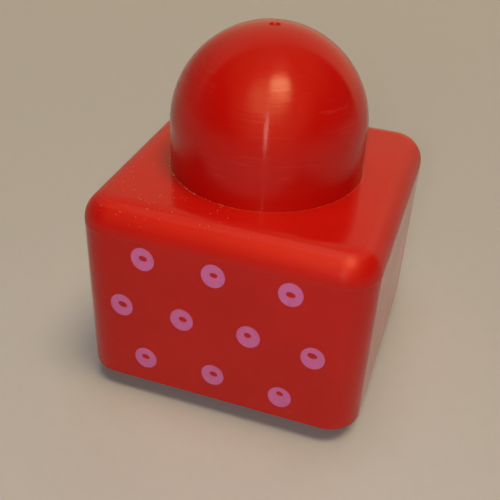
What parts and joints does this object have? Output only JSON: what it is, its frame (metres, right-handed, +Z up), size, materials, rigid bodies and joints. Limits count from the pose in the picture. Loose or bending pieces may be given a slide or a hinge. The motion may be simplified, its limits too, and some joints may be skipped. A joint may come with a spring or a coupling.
{
  "type": "toy building brick",
  "caption": "Hollow square toy brick with rounded edges, a domed knob on top and a round socket with spring tongues underneath.",
  "frame": {"origin": "middle of the base, on the surface that the brick stands on", "axes": "+Z up along the axis of the knob and the socket, -Y out of the printed face"},
  "size_m": [0.048, 0.048, 0.0568],
  "materials": {
    "shell_red": "gloss",
    "knob_red": "gloss",
    "sleeve_red": "satin",
    "plate_red": "gloss",
    "ring_ink": "satin"
  },
  "bodies": {
    "root": {"body_shell": "shell_red", "knob": "knob_red", "socket_sleeve": "sleeve_red", "base_plate": "plate_red"}
  },
  "joints": []
}
